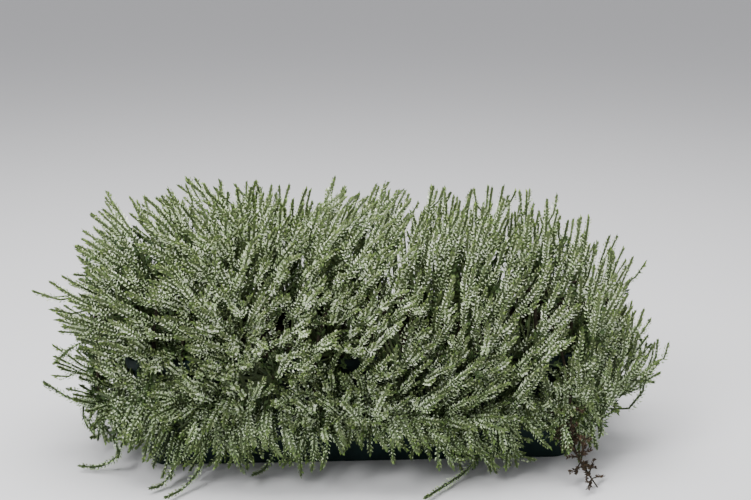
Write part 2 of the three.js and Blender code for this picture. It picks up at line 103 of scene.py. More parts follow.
# ------------------------------------------------------------ where shoots grow, in millimetres

# A layer has the space between neighbouring tips, their reach as a share of the body, the heights between
# which it grows, and how much lower than the frame's fringe it hangs. PARTING is where hanging and upright
# shoots part, and FILL is where all the others leave the body bare.
OUTER = SimpleNamespace(spacing=24, reach=(0.92, 1.02), heights=(0, 400), lower=0)
FRINGE = SimpleNamespace(spacing=26, reach=(0.88, 1.0), heights=(0, 70), lower=6)
UNDER = SimpleNamespace(spacing=28, reach=(0.70, 0.88), heights=(60, 400), lower=0)
PARTING = SimpleNamespace(spacing=30, reach=(0.84, 0.98), heights=(105, 200), lower=0)
FILL = SimpleNamespace(spacing=17, reach=(0.88, 0.9), heights=(50, 400), lower=0)

FILL_GAP, RIM_GAP, RIM_GAP_HEIGHTS = 10, 7.5, (125, 175)   # gaps that FILL closes, and those by the rim
FILL_NEAR = (-12, 32)           # how far over (below 0) or under a place a shoot still covers it

TIP_JITTER, FRINGE_JITTER = 9, (-4, 6)
LEAST_IN_ROW, ROW_ANGLE_STEP = 4, 0.01
SHOULDERS, SHOULDER_HEIGHTS = 13, (200, 300)   # how much the top rises beside the middle
SHOULDER_INNER, SHOULDER_OUTER = (50, 180), (300, 370)
TUCKED_LEFT, TUCKED_RIGHT = 0.08, 0.16   # how much the low part of each end is drawn in
TUCKED_PLACE, TUCKED_HEIGHTS = (250, 360), (50, 140)
BULGE, BULGE_PLACE, BULGE_HEIGHT, BULGE_HALF_HEIGHT = 0.02, (280, 360), 130, 60   # of the right end

TIP_CURVE, TIP_CURVE_HANGING = 48, 36   # the length over which a shoot turns into its tip's direction
UPTURN = (-2, 14)               # how much shoots turn up at their tips
SWEEP, SWEEP_PLACE = 0.75, (40, 300)   # how the left end leans over
CREASE_WIDTH, CREASE_DEPTH = 50, 18   # of the furrows between sprays
LEAN = 0.17                     # how far single shoots stray from their spray's direction
SPRAY_LEAN = np.array([0.5, 0.15, 0.3])
LEAN_SEED, LEAN_REACH = 4, 120  # sprays this close lean much the same way
OWN_LEAN, SHARED_LEAN = 0.4, 0.75
FRONT_SHARE = 0.55              # how much of the common direction's depth the shoots keep
HANGING_SHARE = 0.35            # and how much of their fall the lowest ones keep
HANGING_LEAN = 1.4              # how much further to the side the hanging ones stray
PLANTER_MARGIN, LOWEST_LINE = 8, 8
FREE_REACH = np.array([(-400, -180, 0), (388, 142, 345)])   # beyond it shoots are drawn in
BEYOND_REACH = 0.3              # to this share of what is beyond

# ------------------------------------------------------------ what shoots are like, in millimetres

SHOOT_SEED = 2031
SHOOT_POINTS, SIDE_POINTS, HEART_POINTS = 33, 17, 8
FLOWERING_POINTS = slice(20, None, 2)   # some of the points where a shoot is covered in buds
STEM_SIDES = 3
LEAST_BARE = 2                  # of a stem below its buds
TWIG_RADIUS = np.array([1.5, 1.2])   # of what ties shoots to the middle of their spray

# A kind has the lengths of its flowering part and green tip, its numbers of buds and leaves, the places of
# its stem's rings as shares of its length, its stem's radius at root and tip, and the size of its buds.
MAIN = SimpleNamespace(flowering=(46, 66), green_tip=5, buds=50, leaves=6, low_leaves=7, tip_leaves=6,
                       rings=(0, 0.35, 0.62, 0.82, 1), radius=(1.4, 1.8), bud_size=1)
SIDE = SimpleNamespace(flowering=(28, 44), green_tip=4, buds=28, leaves=2, low_leaves=0, tip_leaves=5,
                       rings=(0, 0.5, 1), radius=(1.2, 1.6), bud_size=1)
STRAY = SimpleNamespace(flowering=(75, 95), green_tip=5, buds=72, leaves=80, low_leaves=20, tip_leaves=8,
                        rings=np.linspace(0, 1, 9), radius=(1.6, 1.8), bud_size=1.2)
INNER = SimpleNamespace(flowering=(46, 66), green_tip=5, buds=32, leaves=2, low_leaves=5, tip_leaves=4,
                        rings=(0, 0.42, 0.72, 1), radius=(1.4, 1.8), bud_size=1)

SIDE_SHOOTS = [1, 1, 2, 2, 2]   # how many a main shoot may have
SIDE_BELOW, SIDE_LENGTH, SIDE_AWAY = (30, 66), (26, 46), (10, 22)
SIDE_START, SIDE_SPREAD, SIDE_END = 0.2, 0.6, 0.4   # their curves' shares of length and distance

BUD_LENGTH, BUD_WIDTH, STALK = 4.2, 1.0, 1.2
BUD_ANGLE, BUD_ANGLE_PLACE = (1.0, 0.8), (0.3, 1)   # from the shoot's line, at its foot and its tip
CLOSED_BUDS = 0.8               # beyond this share of a shoot the buds are still green
PAIR_TURN = np.pi / 2 + 0.08    # from each pair of buds to the next
BUD_SIZES, SHOOT_SIZES = (0.7, 1.25), (0.85, 1.12)
TIP_BUD, TIP_BUD_PLACE = 0.82, (0.7, 1)
FOOT_BUD, FOOT_BUD_PLACE = 0.75, (0, 0.15)
PLACE_JITTER, TURN_JITTER, ANGLE_JITTER = 0.008, 0.3, 0.2
BELLY, KEEL = 0.45, 0.8         # where buds and leaves are widest, and how deep leaves are for their width
POINTED_FACES = np.array([(0, 2, 1), (3, 1, 2), (0, 1, 3), (0, 3, 2)])

LEAF_LENGTH, LEAF_WIDTH = 4.2, 0.9
LEAF_TURN, LEAF_ANGLES, LEAF_SIZES = 2.4, (0.7, 1.3), (0.8, 1.2)
LEAF_ANGLE, LEAF_PLACES = 0.55, (0.05, 1)
LOW_LEAF, LOW_LEAF_ANGLE, LOW_LEAF_PLACES = 2.2, 0.8, (0.1, 1)   # larger ones, on bare stems
TIP_LEAF, TIP_LEAF_ANGLE = 1.25, (0.6, 0.25)   # round the green tips
TIP_LEAF_BELOW, TIP_LEAF_END = 3, 2   # from under the green tip to just short of its end

HEART_SHOOTS, HEART_LEAVES = 15, 18   # short leafy shoots in each spray's heart, and leaves on each
HEART_LEAF, HEART_LEAF_PLACES = 1.9, (0.2, 1)
HEART_REACH, HEART_REACH_HANGING, HEART_BEND = (0.9, 1.5), (0.7, 1.1), 0.6
HEART_LIFT, HEART_RISE = np.array([0, 0, 8]), np.array([0, 0, 22])
HEART_RADIUS = (1.4, 0.5)

STEM, CALYX, PETAL, LEAF, YOUNG, CLOSED = range(6)   # the places of a spray's materials
RNG = np.random.default_rng(SHOOT_SEED)

# ------------------------------------------------------------ sizes of the wood and compost, in millimetres

TRUNK_SHAPE, TRUNK_OVER, TRUNK_SIDES = np.array([0.7, 0.74, 0.78, 0.84, 0.95, 0.8]), 4, 14
BRANCH_POINTS, BRANCH_SIDES, BRANCH_WOBBLE = 24, 7, 1.6
BRANCH_SHARE = 0.9              # of the radius that branches have in the frame
WAVES = (2, 3, 5)               # half waves along a wobbly line

DEAD_POINTS, DEAD_SIDES, DEAD_RADIUS = 40, 6, (2.4, 0.9)
DEAD_WOBBLE, DEAD_WOBBLE_SEED, DEAD_SEED = 1.5, 77, 78
DEAD_TWIGS, DEAD_TWIG_PLACES, DEAD_TWIG_LENGTH = 40, (0.62, 0.98), (12, 30)
DEAD_TWIG_LEAN, DEAD_TWIG_ARCH, DEAD_LOWEST = [-0.3, -0.2, 0.1], [0, 0, 2], 5
DEAD_TWIG_POINTS, DEAD_TWIG_SIDES, DEAD_TWIG_RADIUS = 8, 4, (1.0, 0.5)
DEAD_LEAVES, DEAD_LEAF_PLACES, DEAD_LEAF_SIZES = 26, (0.25, 1), (0.8, 1.3)
DEAD_LEAF_ANGLE, DEAD_LEAF_TURNS = 0.8, (0, 6.28)

CORNER_STEPS = 12
FOOT_PROFILE = [(0, 2.0), (0.6, 0.7), (2, 0)]   # heights and insets of the trough's wall
BAND_PROFILE = [(40, 0), (42, -0.8), (44, -0.8), (46, 0), (90, 0)]
SHARP_EDGE = 38                 # degrees

SOIL_SEED, SOIL_RINGS, SOIL_MIDDLE, SOIL_ROUGHNESS = 5, 26, 0.04, 1.1
SOIL_GAP, SOIL_GAP_BELOW = 0.3, 0.5   # from the trough's wall and floor
CRUMBS, CRUMB_SIZES, CRUMB_SHAPES = 1400, (0.9, 3.2), (0.6, 1.3)
CRUMB_HALF_LENGTH, CRUMB_HALF_DEPTH, CRUMB_LIFT = TOP_LENGTH / 2 - 12, TOP_DEPTH / 2 - 10, 0.5
MOUND_HALF_LENGTH, MOUND_HALF_DEPTH = 280, 88
CRUMB_CORNERS = np.array([(1, 0, 0), (-1, 0, 0), (0, 1, 0), (0, -1, 0), (0, 0, 1), (0, 0, -1)], dtype=float)
CRUMB_FACES = np.array([(0, 2, 4), (2, 1, 4), (1, 3, 4), (3, 0, 4),
                        (2, 0, 5), (1, 2, 5), (3, 1, 5), (0, 3, 5)])

# ------------------------------------------------------------ small tools


def unit(v):
    return v / np.maximum(np.linalg.norm(v, axis=-1, keepdims=True), 1e-9)


def mix(a, b, share):
    return a + (b - a) * share


def smooth(value, low, high):
    """Rises softly from 0 to 1 between low and high."""
    t = np.clip((value - low) / (high - low), 0, 1)
    return t * t * (3 - 2 * t)


def make_random(seed):
    """The same draws as the frame's own seeded random numbers."""
    state = seed

    def draw():
        nonlocal state
        state = (state * DRAW_FACTOR + DRAW_STEP) % DRAW_RANGE
        return state / DRAW_RANGE
    return draw


def catmull(points, count):
    """A smooth line through a few points."""
    p = np.array(points, dtype=float)
    p = np.vstack([2 * p[0] - p[1], p, 2 * p[-1] - p[-2]])
    spans = len(p) - 3
    place = np.linspace(0, spans, count)
    k = np.minimum(place.astype(int), spans - 1)
    t = (place - k)[:, None]
    a, b, c, d = p[k], p[k + 1], p[k + 2], p[k + 3]
    return 0.5 * (2 * b + (c - a) * t + (2 * a - 5 * b + 4 * c - d) * t**2 + (3 * b - a - 3 * c + d) * t**3)


def bezier(curves, count):
    """Lines of points along quadratic curves, given as (n, 3, 3) control points."""
    t = np.linspace(0, 1, count)[None, :, None]
    a, b, c = curves[:, None, 0], curves[:, None, 1], curves[:, None, 2]
    return (1 - t)**2 * a + 2 * t * (1 - t) * b + t**2 * c


def cubic(controls, count):
    """Points along cubic curves, given as four control points of (3,) or (n, 3)."""
    t = np.linspace(0, 1, count)[:, None]
    a, b, c, d = (point[..., None, :] for point in controls)
    return (1 - t)**3 * a + 3 * t * (1 - t)**2 * b + 3 * t**2 * (1 - t) * c + t**3 * d


def line_lengths(lines):
    """How far along its line each point of (n, k, 3) is."""
    steps = np.linalg.norm(np.diff(lines, axis=1), axis=2)
    return np.concatenate([np.zeros((len(lines), 1)), np.cumsum(steps, axis=1)], axis=1)


def on_lines(lines, distances):
    """Points and directions on each line at distances along it, given as (n, k)."""
    reached = line_lengths(lines)
    slopes = np.gradient(lines, axis=1)
    points = np.empty(distances.shape + (3,))
    along = np.empty(distances.shape + (3,))
    for i in range(len(lines)):
        for axis in range(3):
            points[i, :, axis] = np.interp(distances[i], reached[i], lines[i, :, axis])
            along[i, :, axis] = np.interp(distances[i], reached[i], slopes[i, :, axis])
    return points, unit(along)


def across(along):
    """Two directions at right angles to each line and to each other."""
    steep = np.abs(along[..., 2:]) > STEEP
    helper = np.where(steep, [1.0, 0.0, 0.0], [0.0, 0.0, 1.0])
    first = unit(np.cross(along, helper))
    return first, np.cross(along, first)


def clear_of_planter(points):
    """Moves points out of the trough by the shortest way, over the ground, and in from beyond FREE_REACH."""
    points = points.copy()
    over_x = TOP_LENGTH / 2 + RIM_WIDTH + PLANTER_MARGIN - np.abs(points[..., 0])
    over_y = TOP_DEPTH / 2 + RIM_WIDTH + PLANTER_MARGIN - np.abs(points[..., 1])
    over_z = PLANTER_HEIGHT + PLANTER_MARGIN - points[..., 2]
    inside = (over_x > 0) & (over_y > 0) & (over_z > 0)
    along_y = inside & (over_y < over_z)
    points[..., 1] += np.where(along_y, over_y * np.sign(points[..., 1]), 0)
    points[..., 2] += np.where(inside & ~along_y, over_z, 0)
    points[..., 2] = np.maximum(points[..., 2], LOWEST_LINE)
    nearest = np.clip(points, *FREE_REACH)
    return nearest + (points - nearest) * BEYOND_REACH


# ------------------------------------------------------------ the shrub's form, as in the frame


def body_share(point):
    """1 on the shrub's rounded form, less inside it and more outside."""
    p = point - BODY_CENTRE
    left = p[..., 0] < 0
    x = np.abs(p[..., 0]) / np.where(left, BODY_LEFT, BODY_RIGHT)
    z = np.abs(p[..., 2]) / np.where(p[..., 2] < 0, BODY_DROP, BODY_RISE)
    square = np.where(left, SQUARE_LEFT, SQUARE_RIGHT)
    front = (x**square + z**square) ** (SQUARE_SIDE / square)
    deep = (np.abs(p[..., 1]) / BODY_HALF_DEPTH) ** SQUARE_SIDE
    return (front + deep) ** (1 / SQUARE_SIDE)


def onto_body(point, share=1.0):
    return (point - BODY_CENTRE) * np.expand_dims(share / body_share(point), -1) + BODY_CENTRE


def outward(point):
    """The direction straight out of the shrub's form."""
    slopes = [body_share(point + step) - body_share(point - step) for step in np.eye(3)]
    return unit(np.stack(slopes, axis=-1))


def tip_direction(point):
    """The direction in which sprays grow: out, and up or down."""
    side = np.clip(point[..., 0] / TURN_UP_REACH, -1, 1)
    upright = np.where(side < 0, mix(1, TURN_UP_LEFT, -side), mix(1, TURN_UP_RIGHT, side))
    up = upright * mix(DROOP, 1, smooth(point[..., 2], *DROOP_HEIGHTS))
    direction = outward(point)
    direction[..., 2] += up
    return unit(direction)


def fringe_height(point):
    """The height under which no tip hangs."""
    notch = np.maximum(0, 1 - np.abs(point[..., 0] - NOTCH_X) / NOTCH_HALF_WIDTH)
    return LOWEST_TIP + np.where(point[..., 1] < BODY_CENTRE[1], NOTCH_RISE * notch, 0)


def level_outline(height):
    """The shrub's outline at a height, found by halving."""
    angle = np.arange(OUTLINE_STEPS + 1) / OUTLINE_STEPS * 2 * np.pi
    aim = np.stack([np.cos(angle) * BODY_LEFT, np.sin(angle) * BODY_HALF_DEPTH, 0 * angle], axis=1)
    start = np.array([0, BODY_CENTRE[1], height])
    low, high = np.zeros(len(angle)), np.full(len(angle), OUTLINE_FURTHEST)
    for _ in range(OUTLINE_HALVINGS):
        middle = (low + high) / 2
        inside = body_share(start + aim * middle[:, None]) < 1
        low, high = np.where(inside, middle, low), np.where(inside, high, middle)
    return start + aim * low[:, None]


def spread(line, count, start):
    """Points of a line, spaced evenly from a start that is a share of its length."""
    lengths = line_lengths(line[None])[0]
    targets = (np.arange(count) / count + start) % 1 * lengths[-1]
    return line[np.searchsorted(lengths, targets)]


def row_heights(spacing, lowest):
    """Heights of rows that lie evenly up the shrub's side and over its top."""
    heights = list(np.arange(lowest, BODY_CENTRE[2], spacing))
    angle = np.arange(0, math.pi / 2, ROW_ANGLE_STEP)
    power = 2 / SQUARE_SIDE
    y = np.cos(angle) ** power * BODY_HALF_DEPTH
    z = BODY_CENTRE[2] + np.sin(angle) ** power * BODY_RISE
    last = 0
    for k in range(1, len(angle)):
        if math.hypot(y[k] - y[last], z[k] - z[last]) >= spacing:
            heights.append(z[k])
            last = k
    return heights


def body_places(spacing, lowest):
    """Places spread evenly over the whole body, in staggered rows from the fringe to the top."""
    rows = []
    for row, height in enumerate(row_heights(spacing, lowest)):
        line = level_outline(height)
        count = max(LEAST_IN_ROW, round(line_lengths(line[None])[0, -1] / spacing))
        half_step = row % 2 * 0.5 / count
        rows.append(spread(line, count, half_step))
    return np.vstack(rows)


def clear_of_rim(point):
    """Moves the middle of a hanging heart out of the trough."""
    over_x = abs(point[0]) - (TOP_LENGTH / 2 + RIM_WIDTH + MASS_CLEARANCE)
    over_y = abs(point[1]) - (TOP_DEPTH / 2 + RIM_WIDTH + MASS_CLEARANCE)
    if over_x < 0 and over_y < 0:
        axis, over = (0, over_x) if over_x > over_y else (1, over_y)
        point[axis] -= math.copysign(over, point[axis])
    return point


def make_spray(tip, hangs):
    """The heart of a spray and the branch that carries it."""
    plant = min(PLANTS, key=lambda name: abs(PLANTS[name] - tip[0]))
    root = np.array([tip[0] - PLANTS[plant], tip[1], 0])
    root *= (SPREAD_HANGING if hangs else SPREAD_UPRIGHT) / np.linalg.norm(root)
    crown = np.array([PLANTS[plant], 0, CROWN_HEIGHT]) + root
    out = outward(tip)
    if hangs:
        out = unit(out * [1, 1, 0])
        middle = clear_of_rim(tip - out * MASS_BACK_HANGING)
        control = np.array([middle[0], middle[1], ARCH_HEIGHT])
    else:
        direction = tip_direction(tip)
        middle = tip - direction * MASS_BACK
        reach = np.linalg.norm(middle - crown)
        control = middle - direction * BRANCH_BEND * reach
        control[2] = max(control[2], CROWN_HEIGHT + LEAST_RISE * reach)
    size = MASS_SIZE_HANGING if hangs else MASS_SIZE
    along = unit(np.cross([0, 0, 1], out))
    axes = np.array([along, unit(np.cross(out, along)), out])
    return SimpleNamespace(plant=plant, hangs=hangs, middle=middle, out=out, axes=axes,
                           size=np.array(size, dtype=float), curve=np.array([crown, control, middle]))


def make_sprays():
    """All sprays, with the names of their nodes."""
    draw = make_random(SPRAY_SEED)
    sprays = []
    for tier, (height, count, start, hangs) in enumerate(TIERS):
        for k, place in enumerate(spread(level_outline(height), count, start)):
            moved = place + [(draw() - 0.5) * 2 * SPRAY_JITTER for _ in range(3)]
            if tier == len(TIERS) - 1:
                moved[1] = mix(BODY_CENTRE[1], moved[1], TOP_GATHER[k % 2])
            sprays.append(make_spray(onto_body(moved), hangs))
    for plant in PLANTS:
        for k, spray in enumerate(s for s in sprays if s.plant == plant):
            spray.node = f"{plant}_spray_{k + 1:02d}"
    return sprays


def root_behind(tips):
    """Where shoots start, behind their tips."""
    hanging = outward(tips) * HANG_OUT
    hanging[..., 2] -= 1
    height = smooth(tips[..., 2], *DROOP_HEIGHTS)[..., None]
    direction = unit(mix(unit(hanging), tip_direction(tips), height))
    return tips - direction * mix(SHOOT_LENGTH_HANGING, SHOOT_LENGTH, height)


def root_in(spray, point):
    """The place in a spray's heart that is nearest its own way to a point."""
    offset = point - spray.middle
    if spray.hangs:
        offset = offset - spray.out * min(0, offset @ spray.out)
    share = np.linalg.norm(spray.axes @ offset / spray.size)
    return spray.middle + offset * min(1, ROOT_DEPTH / max(share, 1e-6))


# ------------------------------------------------------------ meshes


class Builder:
    """Gathers vertices and three-sided faces with a material each."""

    def __init__(self):
        self.points, self.faces, self.materials = [], [], []
        self.count = 0

    def add(self, points, faces, material):
        """points is (n, k, 3): n copies of one small form. faces is (m, 3) on its k points."""
        n, k = points.shape[:2]
        starts = self.count + np.arange(n)[:, None, None] * k
        self.points.append(points.reshape(-1, 3))
        self.faces.append((faces[None] + starts).reshape(-1, 3))
        self.materials.append(np.tile(np.broadcast_to(material, len(faces)), n))
        self.count += n * k

    def finish(self, name, materials, replaces=(), smooth_shaded=False):
        """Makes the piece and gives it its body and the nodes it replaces."""
        points = np.vstack(self.points) * MM
        faces = np.vstack(self.faces)
        mesh = bpy.data.meshes.new(name)
        mesh.vertices.add(len(points))
        mesh.vertices.foreach_set("co", points.astype(np.float32).ravel())
        mesh.loops.add(faces.size)
        mesh.loops.foreach_set("vertex_index", faces.astype(np.int32).ravel())
        mesh.polygons.add(len(faces))
        mesh.polygons.foreach_set("loop_start", np.arange(0, faces.size, 3, dtype=np.int32))
        mesh.polygons.foreach_set("material_index", np.concatenate(self.materials).astype(np.int32))
        mesh.polygons.foreach_set("use_smooth", np.full(len(faces), smooth_shaded))
        mesh.update(calc_edges=True)
        for material in materials:
            mesh.materials.append(material)
        piece = bpy.data.objects.new(name, mesh)
        bpy.context.scene.collection.objects.link(piece)
        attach(piece, "root")
        if replaces:
            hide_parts(*replaces)
        return piece


def ring_faces(rings, sides):
    """Faces that join rings of points one over the other, closed at both ends."""
    faces = []
    for k in range(rings - 1):
        for i in range(sides):
            a, b = k * sides + i, k * sides + (i + 1) % sides
            faces += [(a, b, b + sides), (a, b + sides, a + sides)]
    top = (rings - 1) * sides
    faces += [(0, i + 1, i) for i in range(1, sides - 1)]
    faces += [(top, top + i, top + i + 1) for i in range(1, sides - 1)]
    return np.array(faces)


def add_rings(builder, rings, material):
    """One form from rings of points (k, sides, 3)."""
    builder.add(rings.reshape(1, -1, 3), ring_faces(*rings.shape[:2]), material)


def add_tubes(builder, lines, radii, sides, material):
    """Tapered tubes along lines (n, k, 3) with radii (k,)."""
    along = unit(np.gradient(lines, axis=1))
    first, second = across(along)
    angle = np.arange(sides) / sides * 2 * np.pi
    wide = np.broadcast_to(radii, lines.shape[:2])[..., None, None]
    ring = (first[:, :, None] * np.cos(angle)[:, None] + second[:, :, None] * np.sin(angle)[:, None]) * wide
    points = (lines[:, :, None] + ring).reshape(len(lines), -1, 3)
    builder.add(points, ring_faces(lines.shape[1], sides), material)


def add_buds(builder, foot, direction, radial, size, petal):
    """Small pointed buds, full on the side away from the stem, with a green foot."""
    length, width = BUD_LENGTH * size, BUD_WIDTH * size
    side = unit(np.cross(direction, radial))
    bulge = np.cross(side, direction)
    belly = foot + direction * (BELLY * length)[:, None] + bulge * width[:, None]
    side = side * width[:, None]
    points = np.stack([foot, belly + side, belly - side, foot + direction * length[:, None]], axis=1)
    builder.add(points, POINTED_FACES, [CALYX, petal, petal, petal])


def add_leaves(builder, foot, direction, size, material):
    """Small keeled leaves, each a long flat tetrahedron, turned at random."""
    length, width = LEAF_LENGTH * size, LEAF_WIDTH * size
    first, second = across(direction)
    turn = RNG.uniform(0, 2 * np.pi, len(foot))[:, None]
    side = first * np.cos(turn) + second * np.sin(turn)
    keel = np.cross(direction, side)
    belly = foot + direction * (BELLY * length)[:, None]
    wide = side * width[:, None]
    points = np.stack([foot, belly + wide, belly - wide + keel * width[:, None] * KEEL,
                       foot + direction * length[:, None]], axis=1)
    builder.add(points, POINTED_FACES, material)


# ------------------------------------------------------------ shoots


def outward_from(lines, distances, turns, angle):
    """Feet and directions of what grows out of shoots at distances along them."""
    points, along = on_lines(lines, distances)
    first, second = across(along)
    radial = first * np.cos(turns)[..., None] + second * np.sin(turns)[..., None]
    direction = unit(along * np.cos(angle)[..., None] + radial * np.sin(angle)[..., None])
    return points, direction, radial


def grow_buds(builder, lines, total, flowering, kind):
    """Pairs of buds, each turned from the one before, with the last ones still closed."""
    n, buds = len(lines), kind.buds
    pair = np.arange(buds) // 2
    share = (pair / pair[-1])[None] + RNG.uniform(-PLACE_JITTER, PLACE_JITTER, (n, buds))
    distance = total - flowering + share * (flowering - kind.green_tip)
    turns = np.arange(buds) % 2 * np.pi + pair * PAIR_TURN + RNG.uniform(0, 2 * np.pi, (n, 1))
    turns = turns + RNG.uniform(-TURN_JITTER, TURN_JITTER, (n, buds))
    size = mix(1, TIP_BUD, smooth(share, *TIP_BUD_PLACE)) * mix(FOOT_BUD, 1, smooth(share, *FOOT_BUD_PLACE))
    size = size * RNG.uniform(*BUD_SIZES, (n, buds)) * RNG.uniform(*SHOOT_SIZES, (n, 1)) * kind.bud_size
    angle = mix(*BUD_ANGLE, smooth(share, *BUD_ANGLE_PLACE))
    angle = angle + RNG.uniform(-ANGLE_JITTER, ANGLE_JITTER, (n, buds))
    foot, direction, radial = outward_from(lines, distance, turns, angle)
    foot = foot + radial * STALK
    closed = share > CLOSED_BUDS
    for chosen, petal in ((~closed, PETAL), (closed, CLOSED)):
        add_buds(builder, foot[chosen], direction[chosen], radial[chosen], size[chosen], petal)


def grow_leaves(builder, lines, distance, angle, scale, material):
    """Leaves that stand out of shoots at distances along them."""
    turns = np.arange(distance.shape[1]) * LEAF_TURN + RNG.uniform(0, 2 * np.pi, (len(lines), 1))
    angle = angle * RNG.uniform(*LEAF_ANGLES, distance.shape)
    foot, direction, _ = outward_from(lines, distance, turns, angle)
    size = RNG.uniform(*LEAF_SIZES, distance.size) * scale
    add_leaves(builder, foot.reshape(-1, 3), direction.reshape(-1, 3), size, material)


def add_shoots(builder, lines, kind):
    """Budded shoots along lines that end at their tips."""
    n = len(lines)
    total = line_lengths(lines)[:, -1:]
    flowering = np.minimum(RNG.uniform(*kind.flowering, (n, 1)), total - LEAST_BARE)
    rings = np.array(kind.rings)
    stems, _ = on_lines(lines, rings * total)
    add_tubes(builder, stems, mix(*kind.radius, rings), STEM_SIDES, STEM)
    grow_buds(builder, lines, total, flowering, kind)

    among_buds = total - RNG.uniform(*LEAF_PLACES, (n, kind.leaves)) * flowering
    grow_leaves(builder, lines, among_buds, LEAF_ANGLE, 1, LEAF)
    on_bare_stem = RNG.uniform(*LOW_LEAF_PLACES, (n, kind.low_leaves)) * np.maximum(total - flowering, 0)
    grow_leaves(builder, lines, on_bare_stem, LOW_LEAF_ANGLE, LOW_LEAF, LEAF)
    share = np.linspace(0, 1, kind.tip_leaves) * np.ones((n, 1))
    round_tip = total - (kind.green_tip + TIP_LEAF_BELOW) * (1 - share) - TIP_LEAF_END
    grow_leaves(builder, lines, round_tip, mix(*TIP_LEAF_ANGLE, share), TIP_LEAF, YOUNG)


def side_lines(lines):
    """Shorter shoots that leave the main ones below their tips and run up beside them."""
    mains = np.repeat(np.arange(len(lines)), RNG.choice(SIDE_SHOOTS, len(lines)))
    lines = lines[mains]
    n = len(lines)
    distance = line_lengths(lines)[:, -1:] - RNG.uniform(*SIDE_BELOW, (n, 1))
    turns = RNG.uniform(0, 2 * np.pi, (n, 1))
    start, along, radial = (found[:, 0] for found in outward_from(lines, distance, turns, np.zeros((n, 1))))
    length = RNG.uniform(*SIDE_LENGTH, (n, 1))
    away = RNG.uniform(*SIDE_AWAY, (n, 1))
    tip = start + along * length + radial * away
    leaving = start + along * length * SIDE_START + radial * away * SIDE_SPREAD
    arriving = tip - along * length * SIDE_END
    return clear_of_planter(cubic((start, leaving, arriving, tip), SIDE_POINTS))


def add_heart(builder, spray):
    """Short leafy shoots that fill the heart of a spray."""
    aim = unit(RNG.normal(size=(HEART_SHOOTS, 3)))
    aim[:, 2] = np.abs(aim[:, 2])
    furthest = HEART_REACH_HANGING if spray.hangs else HEART_REACH
    reach = (aim * spray.size * RNG.uniform(*furthest, (HEART_SHOOTS, 1))) @ spray.axes
    ends = spray.middle + reach + HEART_LIFT
    if not spray.hangs:
        ends = ends + HEART_RISE * RNG.uniform(0, 1, (HEART_SHOOTS, 1))
    middles = np.tile(spray.middle, (HEART_SHOOTS, 1))
    curves = np.stack([middles, middles + reach * HEART_BEND, ends], axis=1)
    lines = clear_of_planter(bezier(curves, HEART_POINTS))
    stems = lines[:, ::2]
    add_tubes(builder, stems, mix(*HEART_RADIUS, np.linspace(0, 1, stems.shape[1])), STEM_SIDES, STEM)
    total = line_lengths(lines)[:, -1:]
    distance = RNG.uniform(*HEART_LEAF_PLACES, (HEART_SHOOTS, HEART_LEAVES)) * total
    grow_leaves(builder, lines, distance, LOW_LEAF_ANGLE, HEART_LEAF, LEAF)


def end_share(tips):
    """How much the low parts of both ends are drawn in, and how the right end bulges."""
    x, z = tips[:, 0], tips[:, 2]
    tucked = np.where(x < 0, TUCKED_LEFT, TUCKED_RIGHT)
    tucked = tucked * smooth(abs(x), *TUCKED_PLACE) * (1 - smooth(z, *TUCKED_HEIGHTS))
    bulge = BULGE * smooth(x, *BULGE_PLACE) * np.clip(1 - abs(z - BULGE_HEIGHT) / BULGE_HALF_HEIGHT, 0, 1)
    return 1 - tucked + bulge


def shoulder_lift(tips):
    """How much higher the top stands on both sides of the middle."""
    x, z = abs(tips[:, 0]), tips[:, 2]
    beside = smooth(x, *SHOULDER_INNER)
    return SHOULDERS * beside * (1 - smooth(x, *SHOULDER_OUTER)) * smooth(z, *SHOULDER_HEIGHTS)


def layer_tips(layer):
    """The tips of a layer's shoots, spread over the body."""
    tips = body_places(layer.spacing, LOWEST_TIP - layer.lower)
    tips = tips + RNG.uniform(-TIP_JITTER, TIP_JITTER, tips.shape)
    tips = onto_body(tips, RNG.uniform(*layer.reach, len(tips)) * end_share(tips))
    lowest = fringe_height(tips) - layer.lower + RNG.uniform(*FRINGE_JITTER, len(tips))
    tips[:, 2] = np.maximum(tips[:, 2] + shoulder_lift(tips), lowest)
    low, high = layer.heights
    return tips[(tips[:, 2] > low) & (tips[:, 2] < high)]


def sweep(tips):
    """How the left end of the shrub leans over."""
    lean = np.zeros(tips.shape)
    lean[:, 0] = -SWEEP * smooth(-tips[:, 0], *SWEEP_PLACE)
    return lean


def lean_together(sprays):
    """Neighbouring sprays lean much the same way, and each a little its own."""
    middles = np.array([spray.middle for spray in sprays])
    own = np.random.default_rng(LEAN_SEED).normal(size=middles.shape)
    apart = np.linalg.norm(middles[:, None] - middles[None], axis=2)
    share = np.exp(-(apart / LEAN_REACH) ** 2)
    shared = share @ own / np.linalg.norm(share, axis=1, keepdims=True)
    leans = (own * OWN_LEAN + shared * SHARED_LEAN) * SPRAY_LEAN
    leans[[spray.hangs for spray in sprays], 0] *= HANGING_LEAN
    return leans


def shoot_directions(tips, roots, leans):
    """The directions of shoots at their tips, laid down along the shrub's surface."""
    common = unit(tips - roots) * [1, FRONT_SHARE, 1]
    common[:, 2] *= mix(HANGING_SHARE, 1, smooth(tips[:, 2], *DROOP_HEIGHTS))
    return unit(common + sweep(tips) + leans + RNG.normal(0, LEAN, tips.shape))


